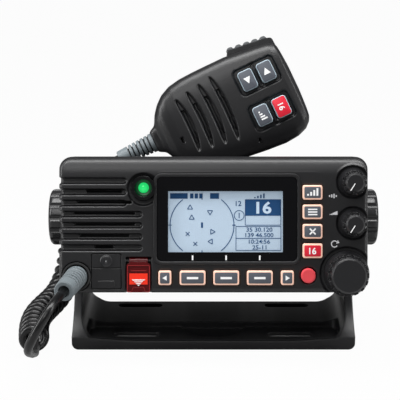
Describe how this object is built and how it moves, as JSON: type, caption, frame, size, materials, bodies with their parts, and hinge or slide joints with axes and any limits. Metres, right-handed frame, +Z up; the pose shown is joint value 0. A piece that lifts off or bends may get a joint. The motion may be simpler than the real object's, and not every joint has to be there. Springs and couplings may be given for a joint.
{
  "type": "vhf marine radio",
  "caption": "Fixed-mount marine radio on a U bracket, with display, keys, rotary knobs and a corded handset standing on top.",
  "frame": {"origin": "middle of the bracket's bottom face, on the deck", "axes": "+Z up, +X to the viewer's right, front panel faces -Y"},
  "size_m": [0.2226, 0.2106, 0.1849],
  "materials": {
    "housing": "fine textured black",
    "casting": "black powder coat",
    "bracket": "satin dark grey",
    "control": "satin black",
    "rubber": "matte black",
    "steel": "plain",
    "brass": "nickel plated",
    "window": "gloss tinted",
    "screen": "backlit",
    "board": "green resist",
    "key_slate": "slate with lit rim",
    "key_red": "red",
    "flap_red": "translucent red",
    "button_orange": "orange",
    "lamp_green": "translucent green",
    "boot": "grey",
    "cord": "smooth black",
    "mesh": "black cloth"
  },
  "bodies": {
    "bracket": {"bracket": "bracket", "cord_lead": "cord", "cord_curl": "cord"},
    "radio": {"chassis": "casting", "front_housing": "housing", "front_gasket": "rubber", "friction_washers": "rubber", "display_window": "window", "lcd_module": "screen", "front_board": "board", "main_board": "board", "keypad_mat": "rubber", "speaker": "steel", "speaker_mesh": "mesh", "status_bezel": "control", "status_lens": "lamp_green", "control_bodies": "steel", "distress_pin": "steel", "mic_socket": "control", "radio_boot": "boot", "service_cover": "housing", "antenna_socket": "brass", "data_socket": "control", "power_inlet": "rubber", "housing_screws": "steel", "cord_tail": "cord"},
    "clamp_left": {"clamp_knob_left": "control", "clamp_stud_left": "steel"},
    "clamp_right": {"clamp_knob_right": "control", "clamp_stud_right": "steel"},
    "squelch": {"squelch_knob": "control", "squelch_shaft": "steel"},
    "volume": {"volume_knob": "control", "volume_shaft": "steel"},
    "dial_push": {"dial_shaft": "steel"},
    "dial": {"dial_knob": "control"},
    "distress_flap": {"distress_cover": "flap_red"},
    "distress_key": {"distress_button": "button_orange"},
    "handset": {"handset_front": "housing", "handset_rear": "housing", "handset_board": "board", "mic_capsule": "steel", "hang_stud": "steel", "handset_boot": "boot", "handset_screws": "steel"},
    "talk_bar": {"handset_ptt": "boot"},
    "power_level_key": {"key_power_level": "key_slate"},
    "menu_key": {"key_menu": "key_slate"},
    "clear_key": {"key_clear": "key_slate"},
    "sixteen_key": {"key_sixteen": "key_red"},
    "power_key": {"key_power": "key_red"},
    "left_key": {"key_left": "key_slate"},
    "soft_1_key": {"key_soft_1": "key_slate"},
    "soft_2_key": {"key_soft_2": "key_slate"},
    "soft_3_key": {"key_soft_3": "key_slate"},
    "right_key": {"key_right": "key_slate"},
    "handset_up_key": {"handset_key_up": "key_slate"},
    "handset_down_key": {"handset_key_down": "key_slate"},
    "handset_power_key": {"handset_key_power": "key_slate"},
    "handset_sixteen_key": {"handset_key_sixteen": "key_red"}
  },
  "joints": [
    {"name": "radio_tilt", "type": "hinge", "parent": "bracket", "child": "radio", "pos_m": [0, 0.008, 0.0715], "axis": [-1, 0, 0], "range_deg": [-20, 18], "deforming": ["cord_lead", "cord_curl"]},
    {"name": "clamp_left_turn", "type": "hinge", "parent": "bracket", "child": "clamp_left", "pos_m": [-0.095, 0.008, 0.0715], "axis": [-1, 0, 0], "continuous": true},
    {"name": "clamp_right_turn", "type": "hinge", "parent": "bracket", "child": "clamp_right", "pos_m": [0.095, 0.008, 0.0715], "axis": [1, 0, 0], "continuous": true},
    {"name": "squelch_turn", "type": "hinge", "parent": "radio", "child": "squelch", "pos_m": [0.0812, -0.04574, 0.10726], "axis": [0, 0.9781, -0.2079], "range_deg": [0, 300]},
    {"name": "volume_turn", "type": "hinge", "parent": "radio", "child": "volume", "pos_m": [0.0812, -0.05073, 0.08378], "axis": [0, 0.9781, -0.2079], "range_deg": [0, 300]},
    {"name": "dial_press", "type": "slide", "parent": "radio", "child": "dial_push", "axis": [0, 0.9781, -0.2079], "range_m": [0, 0.0008], "stiffness_N_per_m": 1000},
    {"name": "dial_turn", "type": "hinge", "parent": "dial_push", "child": "dial", "pos_m": [0.0775, -0.05682, 0.05512], "axis": [0, 0.9781, -0.2079], "continuous": true},
    {"name": "power_level_key_press", "type": "slide", "parent": "radio", "child": "power_level_key", "axis": [0, 0.9781, -0.2079], "range_m": [0, 0.0008], "stiffness_N_per_m": 1000},
    {"name": "menu_key_press", "type": "slide", "parent": "radio", "child": "menu_key", "axis": [0, 0.9781, -0.2079], "range_m": [0, 0.0008], "stiffness_N_per_m": 1000},
    {"name": "clear_key_press", "type": "slide", "parent": "radio", "child": "clear_key", "axis": [0, 0.9781, -0.2079], "range_m": [0, 0.0008], "stiffness_N_per_m": 1000},
    {"name": "sixteen_key_press", "type": "slide", "parent": "radio", "child": "sixteen_key", "axis": [0, 0.9781, -0.2079], "range_m": [0, 0.0008], "stiffness_N_per_m": 1000},
    {"name": "power_key_press", "type": "slide", "parent": "radio", "child": "power_key", "axis": [0, 0.9781, -0.2079], "range_m": [0, 0.0008], "stiffness_N_per_m": 1000},
    {"name": "left_key_press", "type": "slide", "parent": "radio", "child": "left_key", "axis": [0, 0.9781, -0.2079], "range_m": [0, 0.0008], "stiffness_N_per_m": 1000},
    {"name": "soft_1_key_press", "type": "slide", "parent": "radio", "child": "soft_1_key", "axis": [0, 0.9781, -0.2079], "range_m": [0, 0.0008], "stiffness_N_per_m": 1000},
    {"name": "soft_2_key_press", "type": "slide", "parent": "radio", "child": "soft_2_key", "axis": [0, 0.9781, -0.2079], "range_m": [0, 0.0008], "stiffness_N_per_m": 1000},
    {"name": "soft_3_key_press", "type": "slide", "parent": "radio", "child": "soft_3_key", "axis": [0, 0.9781, -0.2079], "range_m": [0, 0.0008], "stiffness_N_per_m": 1000},
    {"name": "right_key_press", "type": "slide", "parent": "radio", "child": "right_key", "axis": [0, 0.9781, -0.2079], "range_m": [0, 0.0008], "stiffness_N_per_m": 1000},
    {"name": "distress_flap_lift", "type": "hinge", "parent": "radio", "child": "distress_flap", "pos_m": [-0.0436, -0.05311, 0.062], "axis": [-1, 0, 0], "range_deg": [0, 90], "stiffness_Nm_per_rad": 0.004},
    {"name": "distress_key_press", "type": "slide", "parent": "radio", "child": "distress_key", "axis": [0, 0.9781, -0.2079], "range_m": [0, 0.0008], "stiffness_N_per_m": 1000},
    {"name": "handset_lift", "type": "slide", "parent": "radio", "child": "handset", "axis": [0, 0.2079, 0.9781], "range_m": [0, 0.12], "deforming": ["cord_tail"]},
    {"name": "talk_bar_press", "type": "slide", "parent": "handset", "child": "talk_bar", "axis": [0.4289, -0.1878, -0.8836], "range_m": [0, 0.0015], "stiffness_N_per_m": 1500},
    {"name": "handset_up_key_press", "type": "slide", "parent": "handset", "child": "handset_up_key", "axis": [0, 0.9781, -0.2079], "range_m": [0, 0.0006], "stiffness_N_per_m": 1000},
    {"name": "handset_down_key_press", "type": "slide", "parent": "handset", "child": "handset_down_key", "axis": [0, 0.9781, -0.2079], "range_m": [0, 0.0006], "stiffness_N_per_m": 1000},
    {"name": "handset_power_key_press", "type": "slide", "parent": "handset", "child": "handset_power_key", "axis": [0, 0.9781, -0.2079], "range_m": [0, 0.0006], "stiffness_N_per_m": 1000},
    {"name": "handset_sixteen_key_press", "type": "slide", "parent": "handset", "child": "handset_sixteen_key", "axis": [0, 0.9781, -0.2079], "range_m": [0, 0.0006], "stiffness_N_per_m": 1000}
  ]
}
